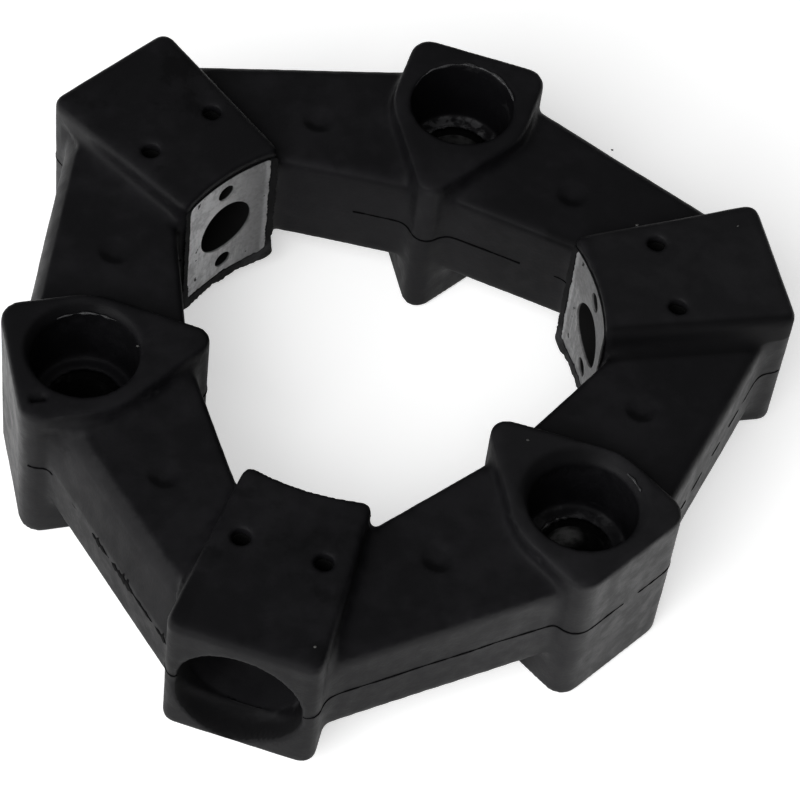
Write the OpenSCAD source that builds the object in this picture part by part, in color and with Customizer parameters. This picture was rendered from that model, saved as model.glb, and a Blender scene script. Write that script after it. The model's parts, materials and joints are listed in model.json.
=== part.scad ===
// Flexible ring coupling: one rubber moulding, with three radial blocks and three axial lobes
// joined by six arms, and six metal inserts bonded into it.
// Millimetres. The ring axis is Z and the origin is on it, level with the foot of the lobes.
// Radial block 1 points along +X, and blocks and lobes alternate every 60 degrees.

/* [Ring] */
// Diameter of the circle through the three axial screw holes
screw_circle_d = 100; // [97:0.5:104]
// Diameter of the hub that the three inner faces close on
hub_seat_d = 77.5; // [75:0.5:79]
// Height of the mould's parting plane above the foot of the lobes
parting_z = 19.5; // [18:0.5:21]

/* [Radial blocks] */
// Distance from the ring axis to the outer face of a radial block
block_outer_r = 71; // [70:0.5:74]
// Height of a radial block, half of it above the parting plane
block_h = 30; // [29:0.5:32]
// Width of a radial block at its outer face
block_outer_w = 26.8; // [26:0.2:29]
// Width of a radial block at its inner end
block_inner_w = 22; // [21.4:0.2:23]
// Radius of the two upright corners at the outer face
block_corner_r = 2.4; // [1.5:0.1:4]
// Radius of the two upright corners at the inner end
block_inner_corner_r = 1.7; // [1.3:0.1:2]
// Rounding of the top and bottom edges of a block
block_edge_r = 1.5; // [0.5:0.1:1.9]
// Diameter of the recess for the head of a radial screw
radial_recess_d = 21; // [19:0.2:22.5]
// Depth of that recess from the outer face
radial_recess_depth = 13.5; // [10:0.5:16]

/* [Axial lobes] */
// Distance from the ring axis to the flat outer face of a lobe
lobe_outer_r = 62.7; // [62:0.1:66]
// Width of a lobe
lobe_w = 24.8; // [23.8:0.2:27]
// Height of a lobe's top above the parting plane
lobe_rise = 14.5; // [13:0.5:16]
// Radius of the two upright corners at the outer face
lobe_corner_r = 3.6; // [2.6:0.2:5]
// Distance from the ring axis to the tip of a lobe's nose
nose_tip_r = 28.9; // [27.5:0.1:30]
// Radius of the nose
nose_round_r = 2.8; // [2:0.1:3.4]
// Rounding of the top and bottom edges of a lobe
lobe_edge_r = 1; // [0.5:0.1:1.8]
// Diameter of the recess for the head of an axial screw
axial_recess_d = 18.2; // [16.5:0.1:19.4]
// Depth of that recess from the top of the lobe
axial_recess_depth = 13.8; // [10:0.2:16]

/* [Arms] */
// Height of an arm, half of it above the parting plane
arm_h = 20.6; // [18:0.2:24]
// Distance from the ring axis to where two outer walls would meet on a lobe's centre line
outer_walls_at_lobe = 62.7; // [61:0.1:64]
// Distance from the ring axis to where two outer walls would meet on a block's centre line
outer_walls_at_block = 77.4; // [75.5:0.1:78.5]
// Distance from the ring axis to where two inner walls would meet on a lobe's centre line
inner_walls_at_lobe = 32.3; // [31.5:0.1:34]
// Distance from the ring axis to where two inner walls would meet on a block's centre line
inner_walls_at_block = 54.4; // [53:0.1:57]
// Rounding of the long outer edges of an arm
arm_outer_edge_r = 2.3; // [1.6:0.1:3.6]
// Rounding of the long inner edges of an arm
arm_inner_edge_r = 1.4; // [0.8:0.1:2.4]
// Diameter of the shallow dish in the top of each arm
dish_d = 6; // [4:0.5:8]
// Depth of that dish
dish_depth = 0.7; // [0.3:0.1:1.2]
// Distance from the ring axis to the middle of a dish
dish_r = 47; // [45:0.5:50]

/* [Radial inserts] */
// Width of a radial insert
radial_insert_w = 18.6; // [16:0.2:19]
// Height of a radial insert
radial_insert_h = 25.6; // [24:0.2:27]
// Radius of a radial insert's long corners
radial_insert_corner_r = 1; // [0.5:0.1:2]
// Diameter of the radial screw's hole
radial_bore_d = 11.5; // [10.5:0.5:12]
// Diameter of the two pin holes in the inner face
pin_d = 3.5; // [3:0.1:4]
// Depth of the pin holes
pin_depth = 7; // [5:0.5:9]
// Distance between the two pin holes
pin_pitch = 18.6; // [17.6:0.2:20]

/* [Axial inserts] */
// Diameter of an axial insert
axial_insert_d = 20; // [19.4:0.2:21.4]
// Diameter of the axial screw's hole
axial_bore_d = 11; // [10:0.5:12]
// Chamfer at the upper end of that hole
bore_chamfer = 0.7; // [0.3:0.1:1]

/* [Moulding details] */
// Thickness of the rubber skin over the screw seat of each insert
seat_skin = 0.8; // [0.4:0.1:1.2]
// Diameter of the hole in that skin
seat_skin_hole_d = 12.6; // [12.4:0.2:14]
// Chamfer round the mouth of each screw recess
recess_chamfer = 0.4; // [0.2:0.1:0.8]
// Diameter of the two locating holes in the top of each radial block
locating_hole_d = 3.2; // [2.4:0.2:3.8]
// Depth of the locating holes, through the rubber and into the insert
locating_hole_depth = 5.2; // [4:0.2:6]
// Distance between the two locating holes
locating_pitch = 14; // [12:0.5:14.4]
// Distance from the ring axis to the line of the locating holes
locating_r = 51; // [49:0.5:53]

/* [Hidden] */
$fn = 72;
sides = 3;
block_step = 360 / sides;
lobe_turn = block_step / 2;
// Straight steps in each rounded upright corner and in each rounded long edge
corner_steps = 6;
edge_steps = 3;
// How deep an arm's outer wall runs on inside a block or a lobe
bury = 3;
// Upright corners of the arm ring, which all lie inside the blocks and lobes
buried_corner_r = 4.5;
// How far a cut runs past the face that it opens
over = 1;

screw_r = screw_circle_d / 2;
seat_r = hub_seat_d / 2;
block_low_z = parting_z - block_h / 2;
block_top_z = parting_z + block_h / 2;
lobe_top_z = parting_z + lobe_rise;
arm_low_z = parting_z - arm_h / 2;
arm_top_z = parting_z + arm_h / 2;
// The inner corners of a block lie on the circle of the hub
block_inner_r = sqrt(pow(seat_r, 2) - pow(block_inner_w / 2, 2));
radial_insert_end_r = block_outer_r - radial_recess_depth - seat_skin;
axial_insert_h = lobe_top_z - axial_recess_depth - seat_skin;
nose_centre_r = nose_tip_r + nose_round_r;
// A lobe's flank touches both the nose and the round about the screw
flank_angle = asin((lobe_w / 2 - nose_round_r) / (screw_r - nose_centre_r));
flank_start_r = screw_r - lobe_w / 2 * tan(flank_angle / 2);
flank_meet_r = nose_centre_r - nose_round_r / sin(flank_angle);
// A rounded edge is a little smaller than the tightest corner that it runs around
block_round = min(block_edge_r, block_inner_corner_r - 0.05);
lobe_round = min(lobe_edge_r, nose_round_r - 0.05);
// The ball that leaves a dish of this width and depth
dish_ball_r = (pow(dish_d / 2, 2) + pow(dish_depth, 2)) / (2 * dish_depth);
dish_facets = 32;

function unit(v) = v / norm(v);
function left_of(v) = [-v[1], v[0]];
function turned(v, a) = [v[0] * cos(a) - v[1] * sin(a), v[0] * sin(a) + v[1] * cos(a)];
function turn_between(u, v) = atan2(u[0] * v[1] - u[1] * v[0], u * v);
function flat(list) = [for (part = list) for (item = part) item];

// Points of one rounded corner, moved inward by inset. A corner is [x, y, radius], the
// outline runs anticlockwise, and moving it inward only changes the radius of its corners.
function corner_points(before, corner, after, inset) =
    let (
        here = [corner[0], corner[1]],
        run_in = unit(here - [before[0], before[1]]),
        run_out = unit([after[0], after[1]] - here),
        inward_in = left_of(run_in),
        inward_out = left_of(run_out),
        turn = turn_between(run_in, run_out),
        to_centre = corner[2] * (inward_in + inward_out) / (1 + inward_in * inward_out)
    )
    [for (i = [0 : corner_steps])
        here + to_centre - turned(inward_in, turn * i / corner_steps) * (corner[2] - inset)];

function outline(corners, inset) =
    let (n = len(corners))
    flat([for (i = [0 : n - 1])
        corner_points(corners[(i + n - 1) % n], corners[i], corners[(i + 1) % n], inset)]);

// Heights and insets up a prism with both its long edges rounded
function rounded_prism_steps(low, high, r) = concat(
    [for (i = [0 : edge_steps])
        let (a = 90 * i / edge_steps) [r * (1 - sin(a)), low + r * (1 - cos(a))]],
    [for (i = [0 : edge_steps])
        let (a = 90 * i / edge_steps) [r * (1 - cos(a)), high - r * (1 - sin(a))]]
);

// The same up the cutter of an opening whose two mouths are rounded outward
function rounded_mouth_steps(low, high, r) = concat(
    [[-r, low - over]],
    [for (s = rounded_prism_steps(low, high, r)) [-s[0], s[1]]],
    [[-r, high + over]]
);

// Solid through a stack of outlines, one for each [inset, height] step
module stacked(corners, steps) {
    rings = [for (s = steps) [for (p = outline(corners, s[0])) [p[0], p[1], s[1]]]];
    n = len(rings[0]);
    last = len(rings) - 1;
    low_face = [for (i = [0 : n - 1]) i];
    high_face = [for (i = [n - 1 : -1 : 0]) last * n + i];
    wall_faces = [
        for (k = [0 : last - 1])
            for (i = [0 : n - 1])
                [k * n + i, (k + 1) * n + i, (k + 1) * n + (i + 1) % n, k * n + (i + 1) % n]
    ];
    polyhedron(points = flat(rings), faces = concat([low_face], wall_faces, [high_face]));
}

// Round-cornered rectangle about the origin
module rounded_rect(w, h, r) {
    square([w - 2 * r, h], center = true);
    square([w, h - 2 * r], center = true);
    for (x = [-1, 1], y = [-1, 1]) {
        translate([x * (w / 2 - r), y * (h / 2 - r)]) circle(r);
    }
}

// Flat shape drawn as seen along the radius, its X across and its Y up from the parting plane
module along_radius(from, to) {
    translate([from, 0, parting_z])
        rotate([90, 0, 90])
            linear_extrude(to - from) children();
}

// Round recess that runs down from a mouth at the origin, with a chamfer at the mouth
module recess_cut(d, depth) {
    translate([0, 0, -depth])
        cylinder(d = d, h = depth + over);
    translate([0, 0, -recess_chamfer])
        cylinder(d1 = d, d2 = d + 2 * (recess_chamfer + over), h = recess_chamfer + over);
}

module hub_cut() {
    translate([0, 0, -over])
        cylinder(d = hub_seat_d, h = block_top_z + 2 * over);
}

// Two holes in the top of a block that hold its insert in the mould
module locating_holes_cut() {
    for (side = [-1, 1]) {
        translate([locating_r, side * locating_pitch / 2, block_top_z - locating_hole_depth])
            cylinder(d = locating_hole_d, h = locating_hole_depth + over);
    }
}

module radial_block() {
    difference() {
        stacked(
            [
                [block_inner_r, -block_inner_w / 2, block_inner_corner_r],
                [block_outer_r, -block_outer_w / 2, block_corner_r],
                [block_outer_r, block_outer_w / 2, block_corner_r],
                [block_inner_r, block_inner_w / 2, block_inner_corner_r]
            ],
            rounded_prism_steps(block_low_z, block_top_z, block_round)
        );
        hub_cut();
    }
}

module axial_lobe() {
    stacked(
        [
            [flank_meet_r, 0, nose_round_r],
            [flank_start_r, -lobe_w / 2, lobe_w / 2],
            [lobe_outer_r, -lobe_w / 2, lobe_corner_r],
            [lobe_outer_r, lobe_w / 2, lobe_corner_r],
            [flank_start_r, lobe_w / 2, lobe_w / 2]
        ],
        rounded_prism_steps(0, lobe_top_z, lobe_round)
    );
}

// Point of a wall that runs from one centre line to the next, at an offset from the first
function wall_point(here_r, next_r, offset) =
    [here_r + (next_r * cos(lobe_turn) - here_r) * offset / (next_r * sin(lobe_turn)), offset];

function corner_at(p, angle) = [turned(p, angle)[0], turned(p, angle)[1], buried_corner_r];

outer_in_block = wall_point(outer_walls_at_block, outer_walls_at_lobe, block_outer_w / 2 - bury);
outer_in_lobe = wall_point(outer_walls_at_lobe, outer_walls_at_block, lobe_w / 2 - bury);

// The outer walls end inside the blocks and lobes, and the inner walls meet there
outer_wall_corners = flat([
    for (i = [0 : sides - 1]) [
        corner_at([outer_in_block[0], -outer_in_block[1]], i * block_step),
        corner_at(outer_in_block, i * block_step),
        corner_at([outer_in_lobe[0], -outer_in_lobe[1]], i * block_step + lobe_turn),
        corner_at(outer_in_lobe, i * block_step + lobe_turn)
    ]
]);
inner_wall_corners = flat([
    for (i = [0 : sides - 1]) [
        corner_at([inner_walls_at_block, 0], i * block_step),
        corner_at([inner_walls_at_lobe, 0], i * block_step + lobe_turn)
    ]
]);

module arm_ring() {
    difference() {
        stacked(outer_wall_corners, rounded_prism_steps(arm_low_z, arm_top_z, arm_outer_edge_r));
        stacked(inner_wall_corners, rounded_mouth_steps(arm_low_z, arm_top_z, arm_inner_edge_r));
        for (i = [0 : 2 * sides - 1]) {
            rotate([0, 0, (i + 0.5) * lobe_turn])
                translate([dish_r, 0, arm_top_z - dish_depth + dish_ball_r])
                    sphere(dish_ball_r, $fn = dish_facets);
        }
    }
}

// Block of metal in a radial block, from a place near the hub out to the screw's seat
module radial_insert_blank(from) {
    along_radius(from, radial_insert_end_r)
        rounded_rect(radial_insert_w, radial_insert_h, radial_insert_corner_r);
}

// What one block loses to its insert, its screw and its locating holes
module radial_block_cuts() {
    radial_insert_blank(block_inner_r - over);
    along_radius(radial_insert_end_r - over, block_outer_r)
        circle(d = seat_skin_hole_d);
    translate([block_outer_r, 0, parting_z])
        rotate([0, 90, 0]) recess_cut(radial_recess_d, radial_recess_depth);
    locating_holes_cut();
}

// What one lobe loses to its insert and its screw
module axial_lobe_cuts() {
    translate([screw_r, 0, -over])
        cylinder(d = axial_insert_d, h = axial_insert_h + over);
    translate([screw_r, 0, 0])
        cylinder(d = seat_skin_hole_d, h = lobe_top_z);
    translate([screw_r, 0, lobe_top_z])
        recess_cut(axial_recess_d, axial_recess_depth);
}

module rubber_body() {
    color([0.11, 0.11, 0.12])
        difference() {
            union() {
                arm_ring();
                for (i = [0 : sides - 1]) {
                    rotate([0, 0, i * block_step]) radial_block();
                    rotate([0, 0, i * block_step + lobe_turn]) axial_lobe();
                }
            }
            for (i = [0 : sides - 1]) {
                rotate([0, 0, i * block_step]) radial_block_cuts();
                rotate([0, 0, i * block_step + lobe_turn]) axial_lobe_cuts();
            }
        }
}

module radial_insert(place) {
    color([0.72, 0.73, 0.74])
        rotate([0, 0, place * block_step])
            difference() {
                radial_insert_blank(block_inner_r - over);
                hub_cut();
                along_radius(0, radial_insert_end_r + over) circle(d = radial_bore_d);
                for (side = [-1, 1]) {
                    along_radius(0, seat_r + pin_depth)
                        translate([0, side * pin_pitch / 2]) circle(d = pin_d);
                }
                locating_holes_cut();
            }
}

module axial_insert(place) {
    color([0.66, 0.67, 0.69])
        rotate([0, 0, place * block_step + lobe_turn])
            translate([screw_r, 0, 0])
                difference() {
                    cylinder(d = axial_insert_d, h = axial_insert_h);
                    translate([0, 0, -over])
                        cylinder(d = axial_bore_d, h = axial_insert_h + 2 * over);
                    translate([0, 0, axial_insert_h - bore_chamfer])
                        cylinder(
                            d1 = axial_bore_d,
                            d2 = axial_bore_d + 2 * (bore_chamfer + over),
                            h = bore_chamfer + over
                        );
                }
}

rubber_body();
radial_insert(0);  // radial_insert_1
radial_insert(1);  // radial_insert_2
radial_insert(2);  // radial_insert_3
axial_insert(0);  // axial_insert_1
axial_insert(1);  // axial_insert_2
axial_insert(2);  // axial_insert_3
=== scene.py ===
"""Dresses a flexible ring coupling: soft black rubber round bonded metal inserts."""

import json
import math

import bmesh
import bpy
import numpy as np
from bpy.props import FloatProperty, FloatVectorProperty, IntProperty, PointerProperty
from mathutils import Matrix, Vector


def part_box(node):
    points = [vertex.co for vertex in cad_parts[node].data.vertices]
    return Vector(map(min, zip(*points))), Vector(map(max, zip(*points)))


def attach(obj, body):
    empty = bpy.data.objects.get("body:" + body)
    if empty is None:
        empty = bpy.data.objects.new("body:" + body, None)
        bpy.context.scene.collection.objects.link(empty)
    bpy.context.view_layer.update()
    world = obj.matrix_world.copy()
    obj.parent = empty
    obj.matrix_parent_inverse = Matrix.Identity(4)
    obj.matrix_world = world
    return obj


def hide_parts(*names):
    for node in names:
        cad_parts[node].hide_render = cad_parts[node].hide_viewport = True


bl_info = {
    "name": "Ring coupling",
    "version": (1, 0, 0),
    "blender": (4, 5, 0),
    "location": "3D View > Sidebar > Coupling",
    "description": "Finishes the rubber and metal of a flexible ring coupling",
    "category": "Object",
}

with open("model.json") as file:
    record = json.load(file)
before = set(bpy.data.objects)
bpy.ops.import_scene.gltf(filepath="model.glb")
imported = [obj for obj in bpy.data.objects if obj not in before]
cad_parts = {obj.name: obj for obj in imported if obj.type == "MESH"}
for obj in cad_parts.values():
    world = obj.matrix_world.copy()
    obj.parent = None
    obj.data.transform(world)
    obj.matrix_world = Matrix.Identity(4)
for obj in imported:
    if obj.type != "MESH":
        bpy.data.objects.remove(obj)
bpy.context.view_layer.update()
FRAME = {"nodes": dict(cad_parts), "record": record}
MM = 0.001
NEAR_ZERO = 1e-9
ON_PLANE = 1e-7
SAME_PLACE = 0.002 * MM
LEAST_LIP = 0.001 * MM
ROOT = "root"
SIDES = 3
STEP = 2 * math.pi / SIDES
RADIAL_INSERTS = [f"radial_insert_{i + 1}" for i in range(SIDES)]
AXIAL_INSERTS = [f"axial_insert_{i + 1}" for i in range(SIDES)]


def mount(name):
    """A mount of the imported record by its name."""
    return next(m for m in FRAME["record"]["mounts"] if m["name"] == name)


# Sizes that the frame gives
BODY_LOW, BODY_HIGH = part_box("rubber_body")
INSERT_LOW, INSERT_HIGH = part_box("radial_insert_1")
SCREW_R = mount("axial_screw_circle")["dims"]["pcd_mm"] * MM / 2
PARTING_Z = mount("radial_bore_1")["pos_m"][2]
INSERT_HALF_W = (INSERT_HIGH.y - INSERT_LOW.y) / 2
INSERT_HALF_H = (INSERT_HIGH.z - INSERT_LOW.z) / 2
SEAT_R = math.hypot(INSERT_LOW.x, INSERT_HALF_W)
FOOT_Z = BODY_LOW.z
BLOCK_OUTER_R = BODY_HIGH.x
LOBE_TOP_Z = BODY_HIGH.z - 0.5 * MM

# Sizes of the moulding that the frame doesn't give
RECESS_R = 9.1 * MM
RECESS_FLOOR_Z = LOBE_TOP_Z - 13.8 * MM
SKIN_HOLE_R = 6.3 * MM
RADIAL_RECESS_R = 10.5 * MM
BLOCK_START_R = 30 * MM
BLOCK_CORE_HALF_W = 10.6 * MM
HOLE_AT_R, HOLE_OFFSETS = 51 * MM, (-7 * MM, 7 * MM)
DISH_AT_R = 47 * MM
ARM_TOP_Z = 29.8 * MM
OUTER_WALL_AT_LOBE = 62.7 * MM
OUTER_WALL_AT_BLOCK = 77.4 * MM

# Worn lower lip of the third block's recess: widths at its left and right, where they change,
# how they fade toward its sides, and how far the lip is worn back
WIDE_LIP, NARROW_LIP = 3.3 * MM, 1.5 * MM
LIP_TURNS = (-2 * MM, 5.5 * MM)
LIP_FADE = 1.2
LIP_WORN_BACK = 4.5 * MM
# Worn mouths of two lobe recesses: lobe, width and drop of the lip, heading of its widest place
WORN_LIPS = ((1, 1.6 * MM, 1.5 * MM, 100), (2, 2.7 * MM, 1.9 * MM, 60))
# Arms whose outer upper edge is blunter than the rest: angle of lobe, angle of block, and facets,
# each as its rise over the depth behind the wall, and how far below the arm's top it meets the wall
BLUNT_ARMS = (
    (180, 120, ((0.8, 1.97 * MM), (1.6, 2.71 * MM), (3.2, 3.22 * MM))),
    (180, 240, ((0.95, 4.7 * MM), (2.6, 8.9 * MM))))
# Slot-shaped pit in the top of the second lobe: middle, half length, half width, depth
PIT = ((-59.1 * MM, -8.1 * MM), 1.5 * MM, 0.75 * MM, 1.1 * MM)

# Step along the mould line, widest gap that it bridges, and narrowest width that is drawn, as a share
LINE_STEP = 0.35 * MM
LINE_BRIDGES = 6 * MM
LINE_LEAST = 0.04
# Places on the inner walls where the mould line is rubbed off: heading and half length
RUBBED_OFF = ((25, 2.6 * MM), (95, 6.4 * MM))
INNER_WALL_REACH = 45 * MM
# Where the outer face of the second lobe begins, on which the mould line doesn't show
BARE_FACE_X = -61.5 * MM
# Arm with the broken mould line, and arm with heavy strokes: angle of lobe, angle of block
BROKEN_ARM, STROKED_ARM = (300, 360), (180, 240)
# Those strokes: from and to in mm, measured from the lobe, and how many times as wide as the line
STROKES = ((28.0, 34.0, 5.4), (34.6, 42.6, 7.4), (42.0, 48.0, 3.4), (48.8, 53.4, 4.2))
# Raised polished edges, placed where highlights fall, whose paler colour is partly painted highlight: lobe,
# ring radius, height, heading of the middle, half length, thickness
BEADS = (
    (0, RECESS_R, LOBE_TOP_Z - 0.05 * MM, 70, 76, 0.27 * MM),
    (0, SKIN_HOLE_R, RECESS_FLOOR_Z + 0.1 * MM, 118, 42, 0.28 * MM),
    (1, RECESS_R - 0.1 * MM, LOBE_TOP_Z - 1.55 * MM, 78, 34, 0.22 * MM),
    (2, SKIN_HOLE_R, RECESS_FLOOR_Z + 0.1 * MM, 122, 40, 0.3 * MM),
    (2, RECESS_R + 0.9 * MM, LOBE_TOP_Z - 0.82 * MM, 18, 12, 0.34 * MM))
# Specks of dust on the upper faces, in mm
SPECK_R = 0.22 * MM
SPECKS = (
    (18.79, -29.65, 34.0), (-41.16, -0.44, 34.0), (50.16, 32.05, 29.8),
    (66.02, 8.26, 34.5), (48.5, 11.22, 34.5), (-24.22, -63.09, 34.5))

# Painted light on the far walls of the sleeves' bores, standing for their lit metal: place from the bore's
# axis and the foot, reach, both in mm, and share
BORE_LIGHT_PATCHES = (
    ((0.0, 5.0, 18.5), 8.0, 0.3),
    ((0.0, 0.0, 0.0), 1.0, 0.0),
    ((-0.4, 5.4, 15.5), 4.5, 1.0))
# How much brighter each seat is painted toward its left, as painted light
SEAT_PAINTED_LIGHT_LEANS = (0.08, 0.95, 0.3)
# Share of dust on the floor of each lobe's recess
FLOOR_DUST = (0.85, 0.0, 0.6)
# Boxes of paler rubber (dust on two tops, and a painted highlight streak along one arm's upper edge), of
# painted shade, and of stained rubber: middle in mm, turn in degrees, half sizes in mm, share
DUST_AND_HIGHLIGHT_BOXES = (
    ((-48.2, -29.9, 28.7), -70.3, (25, 1.9, 1.9), 0.5),
    ((-49.4, -30.3, 27.8), -70.3, (23, 1.1, 1.3), 0.66),
    ((25.0, -43.3, 34.0), 300, (21, 17, 2.4), 0.38),
    ((57.0, 0.0, 34.0), 0, (18, 14, 1.8), 0.34))
PAINTED_SHADE_BOXES = (
    ((43.6, 7.9, 29.4), -36.2, (13, 2.1, 2.0), 0.6),
    ((54.5, -12.7, 32.0), -4.3, (20, 2.8, 3.8), 0.78),
    ((-43.9, -50.9, 19.5), 240, (7, 3.4, 16), 0.35))
STAINED_BOXES = (
    ((-30.5, 52.8, 34.3), 120, (15, 13, 2.2), 0.62),
    ((-28.0, -48.5, 34.3), 240, (15, 13, 2.2), 0.5))

CAMERA_AZIMUTH = math.radians(-19.283)
CAMERA_HEADING = CAMERA_AZIMUTH - math.pi / 2
SENSOR_MM = 36.0
FLOOR_HALF = 3.0
# Lamps: name, place, width and height, power, and whether the object's gloss shows it
LAMP_AIM = (0, 0, 0.02)
LAMPS = (
    ("front lamp", (-0.78, -0.86, 1.05), (1.2, 1.2), 25.0, False),
    ("left lamp", (-0.9, -0.4, 0.5), (0.9, 0.45), 1.6, True))


class CouplingRubber(bpy.types.PropertyGroup):
    """Sizes and colours of the rubber."""

    voxel: FloatProperty(
        name="Mesh step", description="Edge length of the rubber's mesh",
        default=0.55 * MM, min=0.3 * MM, max=2 * MM, subtype="DISTANCE", unit="LENGTH")
    soft_passes: IntProperty(
        name="Edge softening", description="Smoothing passes over every edge", default=1, min=0, max=20)
    lip_passes: IntProperty(
        name="Lip softening", description="Smoothing passes over the worn lip of the third block's recess",
        default=7, min=0, max=40)
    fillet_passes: IntProperty(
        name="Corner filling", description="Passes that fill the inner corners beside the arms",
        default=40, min=0, max=120)
    wobble: FloatProperty(
        name="Wobble", description="How far the moulded faces wander from flat",
        default=0.09 * MM, min=0, max=0.5 * MM, subtype="DISTANCE", unit="LENGTH")
    triangles: IntProperty(
        name="Triangles", description="Most triangles in the rubber's mesh",
        default=190000, min=20000, max=199000)
    dark: FloatVectorProperty(
        name="Rubber", description="Clean rubber", subtype="COLOR", size=3, min=0, max=1,
        default=(0.0046, 0.0045, 0.0052))
    # Colour of the grey bloom, also used for dust and for painted light and a painted highlight streak.
    dust_and_painted_light: FloatVectorProperty(
        name="Bloom", description="Rubber under its grey bloom", subtype="COLOR", size=3, min=0, max=1,
        default=(0.0104, 0.0101, 0.0114))
    # Pale colour of the scuffs, also used for painted light and painted highlights.
    pale_marks: FloatVectorProperty(
        name="Scuffs", description="Pale scuffs on the walls", subtype="COLOR", size=3, min=0, max=1,
        default=(0.022, 0.022, 0.023))
    roughness: FloatProperty(
        name="Roughness", description="Roughness of the clean rubber", default=0.42, min=0, max=1,
        subtype="FACTOR")


class CouplingFlash(bpy.types.PropertyGroup):
    """Sizes of the mould line and of the flash round the seats."""

    width: FloatProperty(
        name="Mould line width", description="Width of the line left where the mould closed",
        default=0.5 * MM, min=0.05 * MM, max=1 * MM, subtype="DISTANCE", unit="LENGTH")
    height: FloatProperty(
        name="Mould line height", description="How far the line stands off the rubber",
        default=0.13 * MM, min=0.02 * MM, max=0.5 * MM, subtype="DISTANCE", unit="LENGTH")
    wander: FloatProperty(
        name="Mould line wander", description="How far the line strays up and down",
        default=0.16 * MM, min=0, max=1 * MM, subtype="DISTANCE", unit="LENGTH")
    film: FloatProperty(
        name="Seat flash", description="Thickness of the ragged rubber round the seats",
        default=0.16 * MM, min=0.05 * MM, max=0.5 * MM, subtype="DISTANCE", unit="LENGTH")


class CouplingMetal(bpy.types.PropertyGroup):
    """Colours of the inserts."""

    seat: FloatVectorProperty(
        name="Seat metal", description="Bare metal of the concave seats", subtype="COLOR", size=3,
        min=0, max=1, default=(0.93, 0.93, 0.94))
    stain: FloatVectorProperty(
        name="Seat stain", description="Rubber smears and stain on the seats", subtype="COLOR", size=3,
        min=0, max=1, default=(0.16, 0.16, 0.16))
    sleeve: FloatVectorProperty(
        name="Sleeve metal", description="Turned metal of the axial sleeves", subtype="COLOR", size=3,
        min=0, max=1, default=(0.06, 0.06, 0.06))
    # Painted shade inside the bores and pin holes; also the dark of the sleeves' stained mottle.
    bore_shade_and_stain: FloatVectorProperty(
        name="Bore", description="Dark skin inside the bores and pin holes", subtype="COLOR", size=3,
        min=0, max=1, default=(0.006, 0.006, 0.006))


class CouplingStage(bpy.types.PropertyGroup):
    """Camera, floor and backdrop."""

    elevation: FloatProperty(
        name="Camera elevation", description="Height of the view above the horizon",
        default=math.radians(53.873), subtype="ANGLE", unit="ROTATION")
    azimuth: FloatProperty(
        name="Camera azimuth", description="Turn of the view about the ring axis",
        default=CAMERA_AZIMUTH, subtype="ANGLE", unit="ROTATION")
    roll: FloatProperty(
        name="Camera roll", description="Turn of the picture about the line of sight",
        default=math.radians(8.124), subtype="ANGLE", unit="ROTATION")
    distance: FloatProperty(
        name="Camera distance", description="From the camera to the point it looks at",
        default=0.575209, subtype="DISTANCE", unit="LENGTH")
    aim: FloatVectorProperty(
        name="Aim", description="Point that the camera looks at", subtype="XYZ", unit="LENGTH", size=3,
        default=(0.003133, -0.008303, 0.0195), precision=6)
    lens: FloatProperty(
        name="Lens", description="Focal length in millimetres on a 36 mm sensor",
        default=151.327, min=20, max=400)
    floor: FloatVectorProperty(
        name="Floor", description="Colour of the floor", subtype="COLOR", size=3, min=0, max=1,
        default=(0.86, 0.86, 0.86))
    floor_lift: FloatProperty(
        name="Floor lift", description="Light that the floor adds to what the camera sees of it",
        default=0.5, min=0, max=1)
    left_lift: FloatProperty(
        name="Left lift", description="Light that gloss sees on the floor left of the object",
        default=0.78, min=0, max=1)
    right_lift: FloatProperty(
        name="Right lift", description="Light that gloss sees on the floor right of the object",
        default=0.8, min=0, max=1)
    dark_heading: FloatProperty(
        name="Dark heading", description="Turn of the unlit part of the floor, from the camera to its left",
        default=math.radians(14), subtype="ANGLE", unit="ROTATION")
    haze_heading: FloatProperty(
        name="Haze heading", description="Turn of the backdrop's bright part, from the camera to its left",
        default=math.radians(46), subtype="ANGLE", unit="ROTATION")
    haze: FloatProperty(
        name="Haze", description="Brightness of the backdrop near the horizon", default=0.85, min=0, max=2)
    sky: FloatProperty(
        name="Sky", description="Brightness of the dim ceiling", default=0.22, min=0, max=2)


def unit(v):
    """The directions of vectors."""
    return v / np.maximum(np.linalg.norm(v, axis=-1, keepdims=True), NEAR_ZERO)


def link_object(name, data):
    """Puts an object with its mesh, camera or lamp into the scene."""
    obj = bpy.data.objects.new(name, data)
    bpy.context.scene.collection.objects.link(obj)
    return obj


def finished(name, bm, smooth=True):
    """Puts a mesh that was built in memory into the scene."""
    mesh = bpy.data.meshes.new(name)
    bm.to_mesh(mesh)
    bm.free()
    if smooth:
        shade_smooth(mesh)
    return link_object(name, mesh)


def read_array(items, field, width, kind=float):
    """A row of numbers for each vertex or edge of a mesh."""
    values = np.empty(len(items) * width, dtype=kind)
    items.foreach_get(field, values)
    return values.reshape(-1, width)


def vertex_array(mesh):
    """Places of a mesh's vertices."""
    return read_array(mesh.vertices, "co", 3)


def store_vertices(mesh, co):
    """Moves a mesh's vertices to new places."""
    mesh.vertices.foreach_set("co", co.ravel())
    mesh.update()


def edges_and_degrees(mesh):
    """The two vertices of each edge, and how many edges meet at each vertex."""
    edges = read_array(mesh.edges, "vertices", 2, np.int64)
    return edges, np.bincount(edges.ravel(), minlength=len(mesh.vertices)).astype(float)


def neighbour_mean(co, edges, degrees):
    """Mean place of each vertex's neighbours."""
    total = np.zeros_like(co)
    for axis in range(3):
        total[:, axis] = np.bincount(edges[:, 0], co[edges[:, 1], axis], len(co))
        total[:, axis] += np.bincount(edges[:, 1], co[edges[:, 0], axis], len(co))
    return total / degrees[:, None]


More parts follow.
